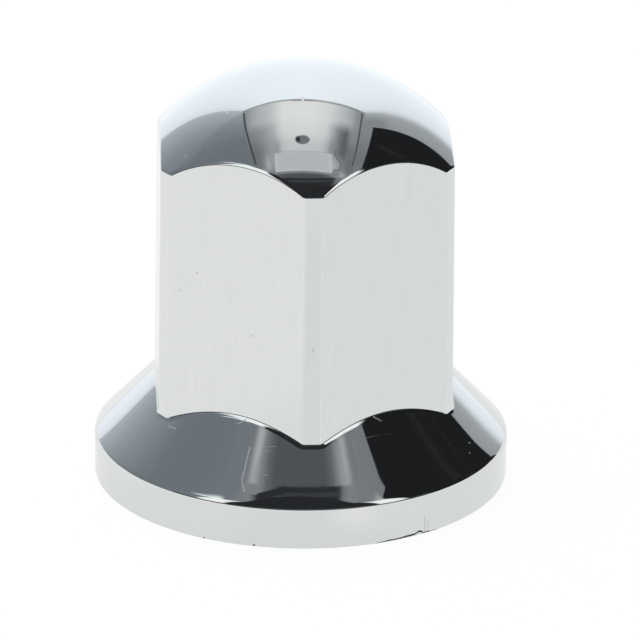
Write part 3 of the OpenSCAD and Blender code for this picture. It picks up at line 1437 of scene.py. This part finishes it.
    def left_wall(self) -> Cloth:
        """Left wall, with a second layer of cloth over its front part.

        Returns:
            The cloth.
        """
        course = Course(0.0, (
            (-0.25, 0.25), (-0.165, 0.25), (-0.13, 0.235), (-0.09, 0.227), (-0.04, 0.225), (0.03, 0.228),
            (0.08, 0.252), (0.1, 0.284), (0.14, 0.32), (0.175, 0.362), (0.2, 0.395), (0.23, 0.44),
            (0.265, 0.485), (0.29, 0.515), (0.33, 0.6),
        ))
        foot = ((self.left, self.back), (self.left, self.front))
        return self.wall("tent_left", foot, self.top, (course,), (
            Patch(0.2, (-0.03, 0.625), (0.5, 0.3), (0.006, 0.006), 0.988, 0.3),
            Patch(self.post, (self.front, 0.179), (0.052, 0.199), (0.012, 0.03)),
            Patch(self.post, (-0.1707, 0.3420), (0.086, 0.030), (0.03, 0.010), math.radians(-55.4)),
            Patch(self.hem, (-0.2, 0.015), (0.09, 0.045), (0.012, 0.01)),
        ), (0.95, 1.0, 1.03, 1.0))

    def right_wall(self) -> Cloth:
        """Right wall, open in the middle to a dark room.

        Returns:
            The cloth.
        """
        low = Course(0.38, (
            (-0.25, 0.26), (-0.134, 0.24), (-0.08, 0.235), (0.07, 0.285), (0.2, 0.385), (0.24, 0.415),
            (0.28, 0.44), (0.3, 0.48), (0.33, 0.66),
        ))
        high = Course(0.46, (
            (-0.25, 0.26), (-0.134, 0.24), (-0.08, 0.225), (0.02, 0.255), (0.14, 0.312), (0.24, 0.31),
            (0.26, 0.36), (0.3, 0.45), (0.33, 0.6),
        ))
        foot = ((self.right, self.front), (self.right, self.back))
        return self.wall("tent_right", foot, self.top, (low, high), (
            Patch(self.opening, (0.0255, 0.2), (0.1595, 0.314)),
            Patch(self.opening, (0.1615, 0.25), (0.040, 0.26), (0.003, 0.003), 0.065),
            Patch(self.opening, (-0.10, 0.2), (0.07, 0.205)),
            Patch(0.026, (0.06, 0.2), (0.012, 0.25), (0.01, 0.03), 0.0, 0.7),
            Patch(self.post, (self.front, 0.19), (0.07, 0.20), (0.012, 0.09)),
            Patch(self.hem, (-0.19, 0.015), (0.095, 0.045), (0.012, 0.01)),
        ))

    def back_wall(self) -> Cloth:
        """Back wall, which the lamps light up from behind.

        Returns:
            The cloth.
        """
        course = Course(0.0, (
            (-0.28, 0.86), (-0.265, 0.96), (-0.24, 1.03), (-0.17, 1.10), (-0.1, 1.13), (0.0, 1.15),
            (0.1, 1.11), (0.16, 1.08), (0.24, 1.0), (0.262, 0.88), (0.28, 0.7),
        ))
        foot = ((self.left, self.back), (self.right, self.back))
        return self.wall("tent_back", foot, self.top, (course,), tint=(0.955, 1.0, 1.07, 1.0))

    def front_wall(self) -> Cloth:
        """Front, which is open to the dark room, with a pale post at each side.

        Returns:
            The cloth.
        """
        course = Course(0.0, ((-0.28, 0.024), (0.0, 0.027), (0.28, 0.024)))
        foot = ((self.right, self.front), (self.left, self.front))
        return self.wall("tent_front", foot, self.front_top, (course,), (
            Patch(self.post, (self.left, 0.19), (0.075, 0.22), (0.012, 0.09)),
            Patch(self.post, (self.right, 0.19), (0.06, 0.20), (0.012, 0.09)),
            Patch(self.hem, (0.0, 0.015), (0.3, 0.045), (0.012, 0.01)),
        ))

    def room_ceiling(self) -> Cloth:
        """Strip of the room's ceiling, seen past the front edge of the tent.

        Returns:
            The cloth.
        """
        stops = (
            (-0.66, 0.25), (-0.56, 0.38), (-0.50, 0.45), (-0.433, 0.28), (-0.40, 0.23), (-0.365, 0.17),
            (-0.307, 0.13), (-0.27, 0.112), (0.27, 0.108), (0.359, 0.17), (0.409, 0.27), (0.455, 0.37),
            (0.51, 0.43), (0.56, 0.33), (0.66, 0.25),
        )
        dark = self.room_tones(stops, self.room_dark, self.room_near)
        thin = self.room_tones(stops, self.room_thin, self.room_near)
        wide = self.room_tones(stops, self.room_dark, self.room_far)
        courses = (Course(-0.735, wide), Course(-0.73, thin), Course(-0.695, thin),
                   Course(-0.69, dark), Course(-0.66, dark), Course(-0.655, stops))
        wedge = Patch(self.room_dark, (-0.315, -0.675), (0.148, 0.028), (0.02, 0.004))
        corners = level_corners(-1.1, 1.1, -1.3, -0.40, self.room_top)
        return Cloth("room_ceiling", corners, TentAxis.ACROSS, TentAxis.AWAY, courses, (wedge,), bow=0.335)

    def room_tones(self, stops: Stops, tone: Grey, reach: float) -> Stops:
        """Tones across the room's ceiling, dark in the middle and out to a reach on the left.

        Args:
            stops: Tones of the lit part.
            tone: Tone of the dark middle.
            reach: How far the dark goes to the left.

        Returns:
            The tones of one course.
        """
        left = [(place, min(grey, self.room_lit)) for place, grey in stops if place < -reach - self.room_fade]
        right = ((0.42, 0.06), (0.47, 0.22), (0.54, self.room_lit), (0.66, 0.25))
        return (*left, (-reach, tone), (0.385, tone), *right)

    def build(self) -> list[Object]:
        """Builds the cloths as panels that only polished metal shows.

        Returns:
            The panels.
        """
        panels = []
        cloths = (self.ceiling(), self.left_wall(), self.right_wall(), self.back_wall(),
                  self.front_wall(), self.room_ceiling())
        for cloth in cloths:
            panel = hang(cloth.name, cloth.corners, cloth.build())
            for ray in ("camera", "diffuse", "transmission", "volume_scatter", "shadow"):
                setattr(panel, "visible_" + ray, False)
            panels.append(panel)
        return panels


@dataclass(frozen=True)
class Studio:
    """White floor, white air and one soft lamp."""

    floor_size: float = 3.0
    own_glow: float = 0.95
    right_tone: float = 0.915
    left_tone: float = 0.975
    left_edge: tuple[float, float] = (-0.042, -0.022)
    matt: Colour = (0.8, 0.8, 0.8, 1.0)
    air_tone: Colour = (0.75, 0.75, 0.76, 1.0)
    lamp_place: tuple[float, float, float] = (-0.12, 0.10, 0.55)
    lamp_size: float = 0.5
    lamp_power: float = 2.2
    patches: tuple[Patch, ...] = (
        Patch(0.885, (0.009, -0.075), (0.060, 0.012), (0.004, 0.004), math.radians(-81.8)),
        Patch(0.985, (0.040, -0.075), (0.055, 0.004), (0.004, 0.004), math.radians(-56)),
    )

    def floor(self) -> Object:
        """Builds the floor, which looks white and still takes the object's shadow.

        Returns:
            The floor.
        """
        half = self.floor_size / 2
        floor = hang("studio_floor", level_corners(-half, half, -half, half, 0), self.floor_material())
        return floor

    def floor_material(self) -> Material:
        """Builds the floor's material.

        Returns:
            The material.
        """
        material, sheet = NodeSheet.for_material("white_floor")
        matt = sheet.add("ShaderNodeBsdfDiffuse")
        matt.inputs["Color"].default_value = self.matt
        place = sheet.place()
        across, along = (sheet.dot(place, axis.value) for axis in (TentAxis.ACROSS, TentAxis.AWAY))
        left = sheet.remap(across, *self.left_edge, 1, 0, True)
        tone = sheet.mix(left, cool(self.right_tone), cool(self.left_tone))
        for patch in self.patches:
            tone = patch.lay(sheet, tone, across, along)
        seen, glossy = sheet.rays()
        glow = sheet.add("ShaderNodeEmission")
        sheet.link(sheet.mix(glossy, PLAIN, tone), glow.inputs["Color"])
        both = sheet.add("ShaderNodeMixShader")
        sheet.link(sheet.math("MULTIPLY", seen, self.own_glow), both.inputs[0])
        sheet.link(matt.outputs[0], both.inputs[1])
        sheet.link(glow.outputs[0], both.inputs[2])
        sheet.close(both)
        material.cycles.emission_sampling = "NONE"
        return material

    def air(self) -> None:
        """Sets the white surroundings."""
        world = bpy.data.worlds.new("studio_air")
        bpy.context.scene.world = world
        world.use_nodes = True
        sheet = NodeSheet(world.node_tree)
        back = sheet.add("ShaderNodeBackground")
        sheet.link(sheet.mix(sheet.rays()[0], self.air_tone, PLAIN), back.inputs["Color"])
        back.inputs["Strength"].default_value = 1.0
        sheet.close(back, "ShaderNodeOutputWorld")

    def lamp(self) -> Object:
        """Hangs one wide soft lamp over the object, for the shadow on the floor.

        Returns:
            The lamp.
        """
        data = bpy.data.lights.new("soft_lamp", "AREA")
        data.shape = "DISK"
        data.size = self.lamp_size
        data.energy = self.lamp_power
        lamp = bpy.data.objects.new("soft_lamp", data)
        lamp.location = self.lamp_place
        lamp.rotation_euler = Vector(self.lamp_place).to_track_quat("Z", "Y").to_euler()
        lamp.visible_glossy = False
        lamp.visible_camera = False
        bpy.context.scene.collection.objects.link(lamp)
        return lamp

    def build(self) -> None:
        """Builds the floor, the air and the lamp."""
        bpy.context.scene.view_settings.view_transform = "Standard"
        self.floor()
        self.air()
        self.lamp()


def main() -> None:
    """Builds the shell, its finishes and the studio, and reports each piece."""
    logging.basicConfig(level=logging.INFO, format="%(name)s: %(message)s")
    low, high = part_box(SHELL_NODE)
    cover = CoverShell(rim_radius=(high.x - low.x) / 2, height=high.z - low.z)
    shell = cover.build()
    for finish in (PolishedPlate(), PolishedFlats(), DrawnInside(), TornSteel()):
        shell.data.materials.append(finish.build())
    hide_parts(SHELL_NODE)
    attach(shell, "root")
    LOG.info("%s: %d points, %d faces", shell.name, len(shell.data.vertices), len(shell.data.polygons))
    Viewpoint().build()
    for panel in LightTent().build():
        LOG.info("%s hung", panel.name)
    Studio().build()


if __name__ == "__main__":
    main()
